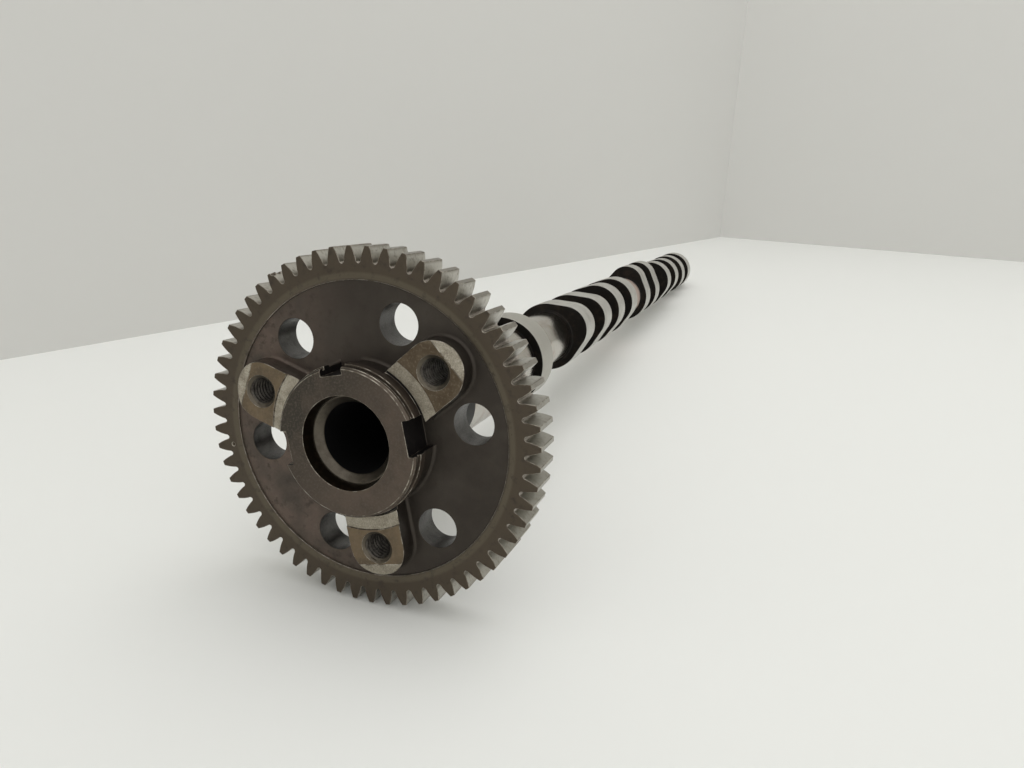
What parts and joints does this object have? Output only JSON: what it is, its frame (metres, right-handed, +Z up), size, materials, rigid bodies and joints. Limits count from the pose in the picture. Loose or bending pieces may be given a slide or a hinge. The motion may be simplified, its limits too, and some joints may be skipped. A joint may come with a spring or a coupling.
{
  "type": "camshaft",
  "caption": "Engine camshaft with a hollow front end, bearing journals, cam lobes in pairs and a spur timing gear whose slotted hub carries three lugs with tapped holes.",
  "frame": {"origin": "under the middle of the part's bounding box, on the surface it lies on", "axes": "+Z up; +Y along the shaft, horizontal, away from the gear; +X to the right as seen from the gear end. The shaft axis lies in the YZ plane and falls 3.69 degrees towards +Y, as the part comes to rest"},
  "size_m": [0.122, 0.7014, 0.1225],
  "materials": {
    "shaft_steel": "ground journals and lobe faces, dark unmachined sides",
    "gear_steel": "machined, dark brown-grey, worn pale on the lugs"
  },
  "bodies": {
    "root": {"camshaft": "shaft_steel", "timing_gear": "gear_steel"}
  },
  "joints": []
}
